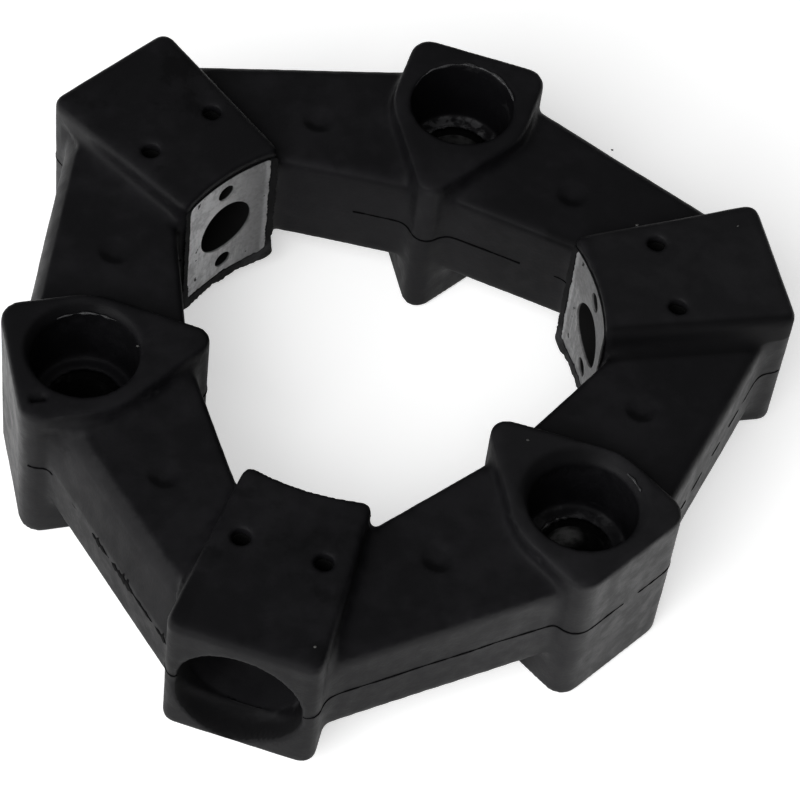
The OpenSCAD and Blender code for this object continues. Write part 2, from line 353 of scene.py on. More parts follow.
def smoothstep(x, low, high):
    """0 below the low value and 1 above the high one, with a soft rise between."""
    t = np.clip((x - low) / (high - low), 0, 1)
    return t * t * (3 - 2 * t)


def turned_back(co, angle):
    """Points in the axes of a block or lobe that stands at an angle: along it, across it and up."""
    c, s = math.cos(angle), math.sin(angle)
    return np.stack([co[:, 0] * c + co[:, 1] * s, co[:, 1] * c - co[:, 0] * s, co[:, 2]], axis=1)


def in_block_axes(co, block):
    """Points in the axes of a block by its number."""
    return turned_back(co, block * STEP)


def in_lobe_axes(co, lobe):
    """Points in the axes of a lobe by its number."""
    return turned_back(co, (lobe + 0.5) * STEP)


def in_arm_axes(co, arm):
    """Points in the axes of an arm by its number."""
    return turned_back(co, (arm + 0.5) * STEP / 2)


def lobe_screw(lobe):
    """Where a lobe's screw axis crosses the floor."""
    turn = (lobe + 0.5) * STEP
    return SCREW_R * math.cos(turn), SCREW_R * math.sin(turn)


def from_lobe_screw(co, lobe):
    """Distance of points from a lobe's screw axis, and their heading from it."""
    x, y = lobe_screw(lobe)
    return np.hypot(co[:, 0] - x, co[:, 1] - y), np.arctan2(co[:, 1] - y, co[:, 0] - x)


def waves(co, length, seed, terms=7):
    """A smooth value near -1 to 1 over space, whose swells are about the given length."""
    rng = np.random.default_rng(seed)
    value = np.zeros(len(co))
    for _ in range(terms):
        heading = unit(rng.normal(size=3))
        stretch = rng.uniform(0.6, 1.7)
        phase = rng.uniform(0, 2 * math.pi)
        value += np.sin(co @ heading * (2 * math.pi * stretch / length) + phase)
    return value / math.sqrt(terms)


# Solid rubber


def corner_weight(co):
    """1 where inner corners may fill, and 0 in the recesses, bores, seats and dishes."""
    margin = 1.2 * MM
    recess_reach, dish_reach = 10.4 * MM, 3.4 * MM
    weight = np.ones(len(co))
    for i in range(SIDES):
        block = in_block_axes(co, i)
        in_block = (block[:, 0] > BLOCK_START_R) & (block[:, 0] < BLOCK_OUTER_R + margin)
        away = smoothstep(np.abs(block[:, 1]), BLOCK_CORE_HALF_W, BLOCK_CORE_HALF_W + margin)
        weight = np.where(in_block, np.minimum(weight, away), weight)
        lobe = in_lobe_axes(co, i)
        from_screw = np.hypot(lobe[:, 0] - SCREW_R, lobe[:, 1])
        weight = np.minimum(weight, smoothstep(from_screw, recess_reach, recess_reach + margin))
        beside_lobe = (np.abs(lobe[:, 1]) < 20 * MM) & (lobe[:, 0] > 0)
        outer_side = smoothstep(lobe[:, 0], 51 * MM, 56 * MM)
        weight = np.where(beside_lobe, weight * (1 - 0.85 * outer_side), weight)
    for i in range(2 * SIDES):
        arm = in_arm_axes(co, i)
        from_dish = np.hypot(arm[:, 0] - DISH_AT_R, arm[:, 1])
        weight = np.minimum(weight, smoothstep(from_dish, dish_reach, dish_reach + margin))
    return weight


def rim_weight(co):
    """0 at the crisp rims of the lobe recesses and of the small holes, 1 elsewhere."""
    weight = np.ones(len(co))
    for i in range(SIDES):
        lobe = in_lobe_axes(co, i)
        from_rim = np.abs(np.hypot(lobe[:, 0] - SCREW_R, lobe[:, 1]) - (RECESS_R + 0.2 * MM))
        weight = np.minimum(weight, smoothstep(from_rim, 0.8 * MM, 2 * MM))
        block = in_block_axes(co, i)
        for offset in HOLE_OFFSETS:
            from_hole = np.hypot(block[:, 0] - HOLE_AT_R, block[:, 1] - offset)
            weight = np.minimum(weight, smoothstep(from_hole, 2.2 * MM, 3.2 * MM))
    return weight


def lip_weight(co):
    """1 on the worn lower lip of the third block's recess, 0 elsewhere."""
    block = in_block_axes(co, 2)
    from_bore = np.hypot(block[:, 1], block[:, 2] - PARTING_Z)
    weight = smoothstep(from_bore, RADIAL_RECESS_R - 2 * MM, RADIAL_RECESS_R - 1 * MM)
    weight *= 1 - smoothstep(from_bore, RADIAL_RECESS_R, RADIAL_RECESS_R + 0.45 * WIDE_LIP)
    weight *= smoothstep(PARTING_Z - block[:, 2], 0, 3 * MM)
    return weight * smoothstep(block[:, 0], BLOCK_OUTER_R - 10 * MM, BLOCK_OUTER_R - 8 * MM)


def fill_corners(mesh, passes):
    """Rounds off inner corners by moving only concave places outward."""
    edges, degrees = edges_and_degrees(mesh)
    co = vertex_array(mesh)
    weight = corner_weight(co)[:, None]
    for _ in range(passes):
        store_vertices(mesh, co)
        normals = read_array(mesh.vertices, "normal", 3)
        pull = neighbour_mean(co, edges, degrees) - co
        outward = np.sum(pull * normals, axis=1, keepdims=True)
        co = co + np.where(outward > 0, 0.5, 0.0) * weight * pull
    store_vertices(mesh, co)


def soften(mesh, passes, weight_of):
    """Even smoothing, by half of what a function of the places gives."""
    edges, degrees = edges_and_degrees(mesh)
    co = vertex_array(mesh)
    weight = 0.5 * weight_of(co)[:, None]
    for _ in range(passes):
        co = co + weight * (neighbour_mean(co, edges, degrees) - co)
    store_vertices(mesh, co)


def outer_wall(co, lobe_angle, block_angle):
    """Places along an arm's outer wall, depth behind it, and the direction of that depth."""
    to_lobe, to_block = (
        np.array([math.cos(math.radians(a)), math.sin(math.radians(a))]) for a in (lobe_angle, block_angle))
    start = OUTER_WALL_AT_LOBE * to_lobe
    along = unit(OUTER_WALL_AT_BLOCK * to_block - start)
    inward = unit(along * (start @ along) - start)
    offset = co[:, :2] - start
    return offset @ along, offset @ inward, inward


def blunt_arm(co, lobe_angle, block_angle, facets):
    """Pulls an arm's outer upper edge in to softly joined facets."""
    along, depth, inward = outer_wall(co, lobe_angle, block_angle)
    middle_depth = 7 * MM
    sharpness = 30
    begins, stops = (11 * MM, 17 * MM), (52 * MM, 57 * MM)
    over, up = depth - middle_depth, co[:, 2] - PARTING_Z
    near = (over < 0) & (up > 0) & (depth > -1 * MM) & (co[:, 2] < ARM_TOP_Z + 0.3 * MM)
    closeness = np.zeros(len(co))
    for rise, drop in facets:
        room = ARM_TOP_Z - drop + rise * middle_depth - PARTING_Z
        closeness += np.maximum((up - rise * over) / room, 0) ** sharpness
    closeness **= 1 / sharpness
    ends = smoothstep(along, *begins) * (1 - smoothstep(along, *stops))
    pull = np.where(near & (closeness > 1), (1 - 1 / np.maximum(closeness, 1)) * ends, 0)
    co[:, 2] -= up * pull
    co[:, :2] -= (over * pull)[:, None] * inward


def slump_lobe_lip(co, lobe, width, drop, heading):
    """Lowers the worn mouth of a lobe's recess, most at one heading."""
    reach, turn = from_lobe_screw(co, lobe)
    share = 0.5 + 0.5 * np.cos(turn - math.radians(heading))
    beyond = np.maximum(reach - RECESS_R, 0)
    lip = np.maximum(1 - beyond / np.maximum(width * share, LEAST_LIP), 0)
    inside = smoothstep(reach, RECESS_R - 0.6 * MM, RECESS_R - 0.1 * MM)
    high = smoothstep(co[:, 2], LOBE_TOP_Z - 6 * MM, LOBE_TOP_Z)
    co[:, 2] -= drop * share * lip * inside * high


def wear_block_lip(co):
    """Wears back the lower lip of the third block's recess."""
    block = in_block_axes(co, 2)
    low = np.maximum(PARTING_Z - block[:, 2], 0)
    from_bore = np.maximum(np.hypot(block[:, 1], block[:, 2] - PARTING_Z), NEAR_ZERO)
    share = (low / from_bore) ** LIP_FADE
    width = share * (WIDE_LIP - (WIDE_LIP - NARROW_LIP) * smoothstep(block[:, 1], *LIP_TURNS))
    beyond = np.maximum(from_bore - RADIAL_RECESS_R, 0)
    lip = np.minimum(np.maximum(1 - beyond / np.maximum(width, LEAST_LIP), 0) * 2.2, 1)
    inside = smoothstep(from_bore, RADIAL_RECESS_R - 0.6 * MM, RADIAL_RECESS_R - 0.1 * MM)
    outer = smoothstep(block[:, 0], BLOCK_OUTER_R - 6 * MM, BLOCK_OUTER_R)
    back = LIP_WORN_BACK * share * lip * inside * outer
    co[:, 0] -= back * math.cos(2 * STEP)
    co[:, 1] -= back * math.sin(2 * STEP)


def pit_mask(co):
    """1 in the slot-shaped pit, 0 outside it."""
    (x, y), half_length, half_width, _ = PIT
    across = np.abs(co[:, 1] - y) / half_width
    along = np.maximum(np.abs(co[:, 0] - x) - (half_length - half_width), 0) / half_width
    near_top = np.abs(co[:, 2] - LOBE_TOP_Z) < 2.6 * MM
    return (1 - smoothstep(np.hypot(across, along), 0.7, 1.1)) * near_top


def wear(co):
    """Slumps the worn lips of the recesses, blunts two arms and presses the pit."""
    for lip in WORN_LIPS:
        slump_lobe_lip(co, *lip)
    wear_block_lip(co)
    for arm in BLUNT_ARMS:
        blunt_arm(co, *arm)
    *_, depth = PIT
    co[:, 2] -= depth * pit_mask(co)


def store_painted_shade(mesh):
    """Keeps how much painted shade darkens and roughens the rubber at each vertex, for its material to
    read.
    """
    skin_half_w = 11.2 * MM
    lip_heading, dish_lean = math.radians(118), math.radians(18)
    soft_ends = (0.35, 0.8)
    co = vertex_array(mesh)
    # Painted shade in the pit.
    dull = pit_mask(co)
    # Painted shade on the rubber round the seats.
    at_seat = np.hypot(co[:, 0], co[:, 1]) < SEAT_R + 0.4 * MM
    at_seat &= co[:, 2] < INSERT_HIGH.z + 0.6 * MM
    for i in range(SIDES):
        block = in_block_axes(co, i)
        in_block = (block[:, 0] > BLOCK_START_R) & (np.abs(block[:, 1]) < skin_half_w)
        dull = np.maximum(dull, 0.6 * (at_seat & in_block))
    # Painted shade on the far side of two worn lobe lips.
    for lobe, width, *_ in WORN_LIPS:
        reach, turn = from_lobe_screw(co, lobe)
        far = smoothstep(np.cos(turn - lip_heading), *soft_ends)
        on_lip = 1 - smoothstep(reach, RECESS_R + width * 0.6, RECESS_R + width * 1.1)
        dull = np.maximum(dull, 0.75 * far * on_lip * (co[:, 2] > LOBE_TOP_Z - 4 * MM))
    # Painted shade in a crescent on the camera's side of each dish's rim.
    for i in range(2 * SIDES):
        arm = in_arm_axes(co, i)
        x, y = arm[:, 0] - DISH_AT_R, arm[:, 1]
        from_dish = np.hypot(x, y)
        from_camera = np.arctan2(y, x) - (CAMERA_HEADING - (i + 0.5) * STEP / 2)
        crescent = smoothstep(np.cos(from_camera + dish_lean), *soft_ends)
        on_rim = smoothstep(from_dish, 0.9 * MM, 1.6 * MM) * (1 - smoothstep(from_dish, 2.8 * MM, 3.3 * MM))
        dull = np.maximum(dull, 0.7 * crescent * on_rim * (co[:, 2] > ARM_TOP_Z - 1.5 * MM))
    mesh.attributes.new("dull", "FLOAT", "POINT").data.foreach_set("value", np.clip(dull, 0, 1))


def apply_modifiers(obj):
    """Bakes the modifiers of an object into its mesh."""
    evaluated = obj.evaluated_get(bpy.context.evaluated_depsgraph_get())
    baked = bpy.data.meshes.new_from_object(evaluated)
    obj.modifiers.clear()
    old = obj.data
    obj.data = baked
    bpy.data.meshes.remove(old)


def shade_smooth(mesh):
    """Lets every face of a mesh take its light smoothly."""
    mesh.polygons.foreach_set("use_smooth", [True] * len(mesh.polygons))
    mesh.update()


def build_moulding(p):
    """One closed soft-edged mesh over the moulding's solid."""
    mesh = FRAME["nodes"]["rubber_body"].data.copy()
    mesh.name = "moulding"
    bm = bmesh.new()
    bm.from_mesh(mesh)
    bmesh.ops.remove_doubles(bm, verts=bm.verts, dist=SAME_PLACE)
    bm.to_mesh(mesh)
    bm.free()
    mesh.materials.clear()
    obj = link_object("moulding", mesh)
    remesh = obj.modifiers.new("even mesh", "REMESH")
    remesh.mode = "VOXEL"
    remesh.voxel_size = p.voxel
    apply_modifiers(obj)
    fill_corners(obj.data, p.fillet_passes)
    soften(obj.data, p.soft_passes, rim_weight)
    co = vertex_array(obj.data)
    wear(co)
    store_vertices(obj.data, co)
    soften(obj.data, p.lip_passes, lip_weight)
    co = vertex_array(obj.data)
    swell = waves(co, 21 * MM, 3) * 0.7 + waves(co, 6 * MM, 11) * 0.3
    above_foot = smoothstep(co[:, 2], FOOT_Z + 0.2 * MM, FOOT_Z + 1.5 * MM)
    inside_box = 0.5 * (swell - 1)
    outward = read_array(obj.data.vertices, "normal", 3)
    store_vertices(obj.data, co + outward * (inside_box * above_foot * p.wobble)[:, None])
    count = sum(len(f.vertices) - 2 for f in obj.data.polygons)
    thin = obj.modifiers.new("thin out", "DECIMATE")
    thin.ratio = min(1.0, p.triangles / count)
    apply_modifiers(obj)
    shade_smooth(obj.data)
    store_painted_shade(obj.data)
    return obj


# Mould line and flash


def parting_runs(mesh):
    """Closed runs of places and outward directions where the mesh crosses the parting plane."""
    bm = bmesh.new()
    bm.from_mesh(mesh)
    cut = bmesh.ops.bisect_plane(
        bm, geom=bm.verts[:] + bm.edges[:] + bm.faces[:], dist=ON_PLANE,
        plane_co=(0, 0, PARTING_Z), plane_no=(0, 0, 1))["geom_cut"]
    bm.verts.index_update()
    follow, place, outward = {}, {}, {}
    for edge in (g for g in cut if isinstance(g, bmesh.types.BMEdge)):
        for v, w in (edge.verts, reversed(edge.verts)):
            follow.setdefault(v.index, []).append(w.index)
            place[v.index] = np.array(v.co)
            outward[v.index] = np.array(v.normal)
    bm.free()
    runs = []
    unused = set(follow)
    while unused:
        run = [min(unused)]
        unused.discard(run[0])
        while ahead := [n for n in follow[run[-1]] if n in unused]:
            run.append(ahead[0])
            unused.discard(ahead[0])
        runs.append((np.array([place[i] for i in run]), np.array([outward[i] for i in run])))
    return runs


def resample(places, outward, step):
    """A closed run with more places where its own lie over a step apart, and none on one another."""
    least = 0.1 * step
    apart = [0]
    for i in range(1, len(places)):
        if np.linalg.norm(places[i] - places[apart[-1]]) > least:
            apart.append(i)
    if np.linalg.norm(places[apart[-1]] - places[0]) < least:
        apart.pop()
    places, outward = places[apart], outward[apart]
    to_next, turn_to_next = np.roll(places, -1, 0) - places, np.roll(outward, -1, 0) - outward
    fine, fine_outward = [], []
    for place, way, out, turn in zip(places, to_next, outward, turn_to_next):
        gap = np.linalg.norm(way)
        parts = max(1, int(gap / step)) if gap < LINE_BRIDGES else 1
        shares = (np.arange(parts) / parts)[:, None]
        fine.append(place + way * shares)
        fine_outward.append(out + turn * shares)
    return np.concatenate(fine), np.concatenate(fine_outward)


def line_shows(co):
    """True where the mould line lies on an outer or inner wall, not in a recess, bore or seat."""
    shows = co[:, 0] > BARE_FACE_X
    for i in range(SIDES):
        block = in_block_axes(co, i)
        shows &= ~((block[:, 0] > BLOCK_START_R) & (np.abs(block[:, 1]) < BLOCK_CORE_HALF_W))
        lobe = in_lobe_axes(co, i)
        shows &= np.hypot(lobe[:, 0] - SCREW_R, lobe[:, 1]) > RECESS_R + 0.5 * MM
    for heading, half in RUBBED_OFF:
        own = turned_back(co, math.radians(heading))
        inner_wall = (own[:, 0] > 0) & (own[:, 0] < INNER_WALL_REACH)
        shows &= ~(inner_wall & (np.abs(own[:, 1]) < half))
    return shows


def line_strength(co):
    """How wide the line is for its size: broken along one arm, and in heavy strokes along another."""
    even = np.maximum(0.95 + 0.28 * waves(co, 4 * MM, 21) + 0.2 * waves(co, 1.6 * MM, 22), 0.55)
    broken = smoothstep(waves(co, 5 * MM, 5), -0.5, 0.1)
    _, depth, _ = outer_wall(co, *BROKEN_ARM)
    even = np.where(depth < 0.6 * MM, even * broken, even)
    along, depth, _ = outer_wall(co, *STROKED_ARM)
    strokes = 0.25 * smoothstep(waves(co, 3 * MM, 8), 0.3, 0.8)
    ragged = 0.75 + 0.4 * waves(co, 2.2 * MM, 9) + 0.25 * waves(co, 0.9 * MM, 10)
    for start, end, width in STROKES:
        middle, half = (start + end) / 2 * MM, (end - start) / 2 * MM
        taper = np.clip(1 - (np.abs(along - middle) / half) ** 2, 0, 1)
        strokes = np.maximum(strokes, width * taper * ragged)
    stroked = (depth < 1 * MM) & (along > 15 * MM) & (along < 54 * MM)
    return np.clip(np.where(stroked, strokes, even), 0, 8)


def build_mould_line(p, moulding):
    """Low bead along the line where the two halves of the mould met, near black as painted shade."""
    across = np.array([-0.5, -0.22, 0.22, 0.5])
    proud = np.array([-0.5, 1.0, 1.0, -0.5])
    bm = bmesh.new()
    for run in parting_runs(moulding.data):
        co, outward = resample(*run, LINE_STEP)
        strength = line_strength(co)
        shows = line_shows(co) & (strength > LINE_LEAST)
        gaps = np.linalg.norm(np.roll(co, -1, 0) - co, axis=1)
        joined = shows & np.roll(shows, -1) & (gaps < LINE_BRIDGES)
        outward[:, 2] = 0
        outward = unit(outward)
        stray = p.wander * 0.5 * waves(co, 14 * MM, 17)
        rings = []
        for i, place in enumerate(co):
            ring = None
            if joined[i] or joined[i - 1]:
                up = across * p.width * strength[i] + stray[i]
                out = proud * p.height * min(1.0, strength[i])
                ring = [bm.verts.new(place + outward[i] * o + np.array([0, 0, u])) for o, u in zip(out, up)]
            rings.append(ring)
        for i, ring in enumerate(rings):
            if joined[i]:
                following = rings[(i + 1) % len(rings)]
                for k in range(len(ring)):
                    bm.faces.new((ring[k - 1], ring[k], following[k], following[k - 1]))
            if joined[i] != joined[i - 1]:
                bm.faces.new(ring)
    bmesh.ops.recalc_face_normals(bm, faces=bm.faces)
    return finished("mould_line", bm, smooth=False)


def seat_outline(count):
    """Places across and up along the outline of a seat, and the directions out of it."""
    half_w, half_h, corner = INSERT_HALF_W, INSERT_HALF_H, 1 * MM
    t = np.linspace(0, 4, count, endpoint=False)
    side, share = t.astype(int), t % 1
    ends = np.array([[1, -1], [1, 1], [-1, 1], [-1, -1]], dtype=float)
    start, end = ends[side], ends[(side + 1) % 4]
    path = (start + (end - start) * share[:, None]) * [half_w, half_h]
    core = np.clip(path, [corner - half_w, corner - half_h], [half_w - corner, half_h - corner])
    outward = unit(path - core)
    return core + outward * corner, outward


def build_seat_flash(p):
    """Thin ragged rubber that crept over the rims of the seats, hanging below their lower edge."""
    outline, outward = seat_outline(420)
    lower = smoothstep(-outward[:, 1], 0.3, 0.9)
    upper = smoothstep(outward[:, 1], 0.3, 0.9)
    corner = smoothstep(-outline[:, 1], 6 * MM, 12 * MM) * smoothstep(outline[:, 0], 5 * MM, 9 * MM)
    bm = bmesh.new()
    for i in range(SIDES):
        seed = 60 + 10 * i
        flat = np.stack([outline[:, 0], outline[:, 1], np.full(len(outline), 7.0 * MM * i)], axis=1)
        ragged = 0.6 * waves(flat, 3.4 * MM, seed) + 0.5 * waves(flat, 1.3 * MM, seed + 1)
        creep = (0.1 + 0.16 * ragged + 0.3 * lower * np.maximum(ragged, 0) + 0.4 * corner) * (1 - upper)
        hang = (1.25 + 0.2 * ragged) * (1 - upper) + (1.1 + 0.2 * ragged) * lower + 0.3 * upper
        profile = (
            (-creep, 0.01 * MM), (0.1 - creep * 0.5, p.film), (hang * 0.6, p.film),
            (hang, 0.1 * MM), (hang, -0.12 * MM), (hang * 0.5, -0.12 * MM))
        c, s = math.cos(i * STEP), math.sin(i * STEP)
        rings = []
        for offset, proud in profile:
            place = outline + outward * (offset * MM)[:, None]
            y, z = place[:, 0], place[:, 1] + PARTING_Z
            x = np.sqrt(np.maximum((SEAT_R - proud) ** 2 - y ** 2, 0))
            rings.append([bm.verts.new(v) for v in np.stack([x * c - y * s, x * s + y * c, z], axis=1)])
        for inner, outer in zip(rings, rings[1:] + rings[:1]):
            for k in range(len(outline)):
                bm.faces.new((inner[k - 1], inner[k], outer[k], outer[k - 1]))
    bmesh.ops.recalc_face_normals(bm, faces=bm.faces)
    return finished("seat_flash", bm, smooth=False)


# Worn rims and dust


def tube(bm, middles, outward, upward, thickness):
    """A closed tube of six sides through places, as thick at each as its thickness there."""
    turns = [math.radians(60 * k) for k in range(6)]
    rings = [
        [bm.verts.new(place + (out * math.cos(t) + upward * math.sin(t)) * thick) for t in turns]
        for place, out, thick in zip(middles, outward, thickness)]
    for before, ring in zip(rings, rings[1:]):
        for k in range(len(turns)):
            bm.faces.new((before[k], before[k - 1], ring[k - 1], ring[k]))
    bm.faces.new(rings[0])
    bm.faces.new(rings[-1][::-1])


def build_worn_rims():
    """Thin raised edges that catch the light at the mouths and floors of the lobe recesses."""
    upward = np.array([0, 0, 1.0])
    bm = bmesh.new()
    for number, (lobe, radius, z, middle, half, thick) in enumerate(BEADS):
        angle = np.radians(np.linspace(middle - half, middle + half, 3 * half))
        out = np.stack([np.cos(angle), np.sin(angle), np.zeros(len(angle))], axis=1)
        places = np.array([*lobe_screw(lobe), z]) + out * radius
        places[:, 2] += 0.08 * MM * waves(places, 2.2 * MM, 40 + number)
        taper = np.sqrt(np.clip(1 - np.linspace(-1, 1, len(angle)) ** 4, 0, 1))
        uneven = np.clip(0.75 + 0.55 * waves(places, 2.6 * MM, 50 + number), 0.06, 1.5)
        tube(bm, places, out, upward, thick * taper * uneven + 0.004 * MM)
    return finished("worn_rims", bm)


def build_specks():
    """Small flattened grains on the upper faces."""
    rng = np.random.default_rng(4)
    bm = bmesh.new()
    for place in SPECKS:
        grain = bmesh.ops.create_icosphere(bm, subdivisions=2, radius=SPECK_R)["verts"]
        squash = rng.uniform(0.7, 1.3, 2)
        for v in grain:
            rough = 1 + 0.25 * math.sin(v.co.x * 9e3 + place[0]) * math.cos(v.co.y * 7e3 + place[1])
            v.co = Vector((v.co.x * squash[0], v.co.y * squash[1], v.co.z * 0.55)) * rough
            v.co += Vector(place) * MM
    return finished("dust_specks", bm)


# Materials


class Net:
    """Short calls that add nodes to one tree."""

    def __init__(self, tree):
        self.tree = tree

    def add(self, kind, **settings):
        node = self.tree.nodes.new(kind)
        for key, value in settings.items():
            setattr(node, key, value)
        return node

    def put(self, value, socket):
        """Links a socket's value, or sets a plain one."""
        if isinstance(value, bpy.types.NodeSocket):
            self.tree.links.new(value, socket)
        else:
            socket.default_value = value

    def filled(self, kind, values, **settings):
        """What a node puts out, with its first inputs filled in order."""
        node = self.add(kind, **settings)
        for value, socket in zip(values, node.inputs):
            self.put(value, socket)
        return node.outputs

    def maths(self, operation, *values):
        return self.filled("ShaderNodeMath", values, operation=operation)[0]

    def chain(self, operation, values):
        """One value out of several, taken two at a time."""
        result, *others = values
        for value in others:
            result = self.maths(operation, result, value)
        return result

    def times(self, *values):
        return self.chain("MULTIPLY", values)

    def plus(self, *values):
        return self.chain("ADD", values)

    def most(self, *values):
        return self.chain("MAXIMUM", values)

    def less(self, a, b):
        return self.maths("SUBTRACT", a, b)

    def vector(self, operation, *values):
        """A vector out of vectors, or a value where the operation gives one."""
        out = self.filled("ShaderNodeVectorMath", values, operation=operation)
        return out["Value" if operation in ("LENGTH", "DISTANCE", "DOT_PRODUCT") else "Vector"]

    def axes(self, vector):
        return self.filled("ShaderNodeSeparateXYZ", [vector])

    def from_axis(self, vector):
        """Distance from the upright axis."""
        return self.vector("LENGTH", self.vector("MULTIPLY", vector, (1.0, 1.0, 0.0)))

    def turned_back(self, place, middle, turn):
        """Places in the axes of something that stands at a middle and is turned."""
        return self.filled("ShaderNodeMapping", (place, middle, turn), vector_type="TEXTURE")[0]

    def noise(self, place, scale, detail, roughness):
        node = self.add("ShaderNodeTexNoise")
        self.put(place, node.inputs["Vector"])
        self.put(scale, node.inputs["Scale"])
        self.put(detail, node.inputs["Detail"])
        self.put(roughness, node.inputs["Roughness"])
        return node.outputs["Fac"]

    def spread(self, value, low, high, to_low=0.0, to_high=1.0):
        """A value's place between low and high, softened and given a new range."""
        values = (value, low, high, to_low, to_high)
        return self.filled("ShaderNodeMapRange", values, interpolation_type="SMOOTHSTEP")[0]

    def blend(self, factor, a, b):
        """The first colour where the factor is 0, the second where it is 1."""
        node = self.add("ShaderNodeMix", data_type="RGBA")
        self.put(factor, node.inputs["Factor"])
        self.put(a, node.inputs[6])
        self.put(b, node.inputs[7])
        return node.outputs[2]

    def group(self, tree, **values):
        node = self.add("ShaderNodeGroup", node_tree=tree)
        for key, value in values.items():
            self.put(value, node.inputs[key])
        return node.outputs

    def bump(self, height, distance):
        node = self.add("ShaderNodeBump")
        node.inputs["Strength"].default_value = 1.0
        node.inputs["Distance"].default_value = distance
        self.put(height, node.inputs["Height"])
        return node.outputs["Normal"]


def shared_group(name, vectors, values, outputs, fill):
    """A node group made once, filled by a function of its net, inputs and outputs."""
    if name in bpy.data.node_groups:
        return bpy.data.node_groups[name]
    tree = bpy.data.node_groups.new(name, "ShaderNodeTree")
    for label in vectors:
        tree.interface.new_socket(name=label, in_out="INPUT", socket_type="NodeSocketVector")
    for label in values:
        tree.interface.new_socket(name=label, in_out="INPUT", socket_type="NodeSocketFloat")
    for label in outputs:
        tree.interface.new_socket(name=label, in_out="OUTPUT", socket_type="NodeSocketFloat")
    net = Net(tree)
    fill(net, net.add("NodeGroupInput").outputs, net.add("NodeGroupOutput").inputs)
    return tree


def blotches_group():
    """Uneven patches at two scales."""
    def fill(net, given, out):
        coarse = net.noise(given["Place"], given["Scale"], 5.0, 0.6)
        fine = net.noise(given["Place"], net.times(given["Scale"], 6.5), 4.0, 0.6)
        both = net.plus(net.times(coarse, 0.65), net.times(fine, 0.35))
        net.put(net.spread(both, given["Low"], given["High"]), out["Mask"])
        net.put(fine, out["Fine"])

    return shared_group("Blotches", ["Place"], ["Scale", "Low", "High"], ["Mask", "Fine"], fill)


def scuffs_group():
    """Streaks drawn out along one way, in patches."""
    def fill(net, given, out):
        lengthwise = net.vector("MULTIPLY", given["Place"], given["Stretch"])
        streaks = net.noise(lengthwise, given["Scale"], 3.0, 0.7)
        patches = net.noise(given["Place"], 55.0, 2.0, 0.5)
        strong = net.spread(streaks, given["Low"], net.plus(given["Low"], 0.12))
        net.put(net.times(strong, net.spread(patches, 0.48, 0.62)), out["Mask"])

    return shared_group("Scuffs", ["Place", "Stretch"], ["Scale", "Low"], ["Mask"], fill)


def grain_group():
    """Height of a fine skin over slow swells."""
    def fill(net, given, out):
        skin = net.noise(given["Place"], given["Scale"], 3.0, 0.6)
        swell = net.noise(given["Place"], net.times(given["Scale"], 0.12), 2.0, 0.5)
        net.put(net.plus(net.times(skin, given["Skin"]), net.times(swell, given["Swell"])), out["Height"])

    return shared_group("Grain", ["Place"], ["Scale", "Skin", "Swell"], ["Height"], fill)


def box_group():
    """1 inside a turned box, with a soft margin."""
    def fill(net, given, out):
        own = net.turned_back(given["Place"], given["Middle"], given["Turn"])
        beyond = net.axes(net.vector("SUBTRACT", net.vector("ABSOLUTE", own), given["Half"]))
        net.put(net.spread(net.most(*beyond), -1.2 * MM, 0.0, 1.0, 0.0), out["Mask"])

    return shared_group("Box", ["Place", "Middle", "Turn", "Half"], [], ["Mask"], fill)


def bowl_group():
    """Floor and inside of a lobe's recess."""
    def fill(net, given, out):
        own = net.vector("SUBTRACT", given["Place"], given["Middle"])
        inside = net.spread(net.from_axis(own), RECESS_R, RECESS_R + 0.15 * MM, 1.0, 0.0)
        low = net.spread(net.axes(own)["Z"], 0.1 * MM, 0.5 * MM, 1.0, 0.0)
        net.put(net.times(inside, low), out["Floor"])
        net.put(inside, out["Inside"])

    return shared_group("Lobe recess", ["Place", "Middle"], [], ["Floor", "Inside"], fill)


def mouth_group():
    """Inside of the third block's recess, painted shade over its worn lower rim, and the paler patch at its
    right, which is painted light.
    """
    def fill(net, given, out):
        own = net.turned_back(given["Place"], (0, 0, PARTING_Z), (0, 0, 2 * STEP))
        axes = net.axes(own)
        reach = net.vector("LENGTH", net.vector("MULTIPLY", own, (0.0, 1.0, 1.0)))
        low = net.most(net.times(axes["Z"], -1.0), 0.0)
        share = net.maths("POWER", net.maths("DIVIDE", low, reach), LIP_FADE)
        width = net.spread(axes["Y"], *LIP_TURNS, WIDE_LIP, NARROW_LIP)
        beyond = net.less(reach, net.plus(net.times(share, width), RADIAL_RECESS_R + 0.15 * MM))
        inside = net.spread(beyond, -0.15 * MM, 0.05 * MM, 1.0, 0.0)
        right = net.spread(axes["Y"], 1 * MM, 5 * MM)
        # Rim: painted shade over the worn lower lip and its inner edge.
        slope = net.times(net.spread(beyond, -5.2 * MM, -3.8 * MM), net.less(1.0, net.times(right, 0.45)))
        rim = net.most(slope, net.spread(beyond, -1.4 * MM, -0.7 * MM))
        at_mouth = net.spread(axes["X"], BLOCK_OUTER_R - 6 * MM, BLOCK_OUTER_R - 5 * MM)
        net.put(net.times(inside, net.spread(axes["X"], 50 * MM, 51 * MM)), out["Inside"])
        net.put(net.times(inside, rim, at_mouth), out["Rim"])
        # Patch: painted light in the lower right of the recess.
        net.put(net.times(right, net.spread(axes["Z"], 3 * MM, -3 * MM)), out["Patch"])

    return shared_group("Block recess", ["Place"], [], ["Inside", "Rim", "Patch"], fill)


def boxes_mask(net, place, boxes):
    """The greatest of the masks of several boxes."""
    masks = []
    for middle, turn, half, share in boxes:
        mask = net.group(
            box_group(), Place=place, Middle=[c * MM for c in middle],
            Turn=(0, 0, math.radians(turn)), Half=[c * MM for c in half])["Mask"]
        masks.append(net.times(mask, share))
    return net.most(*masks)


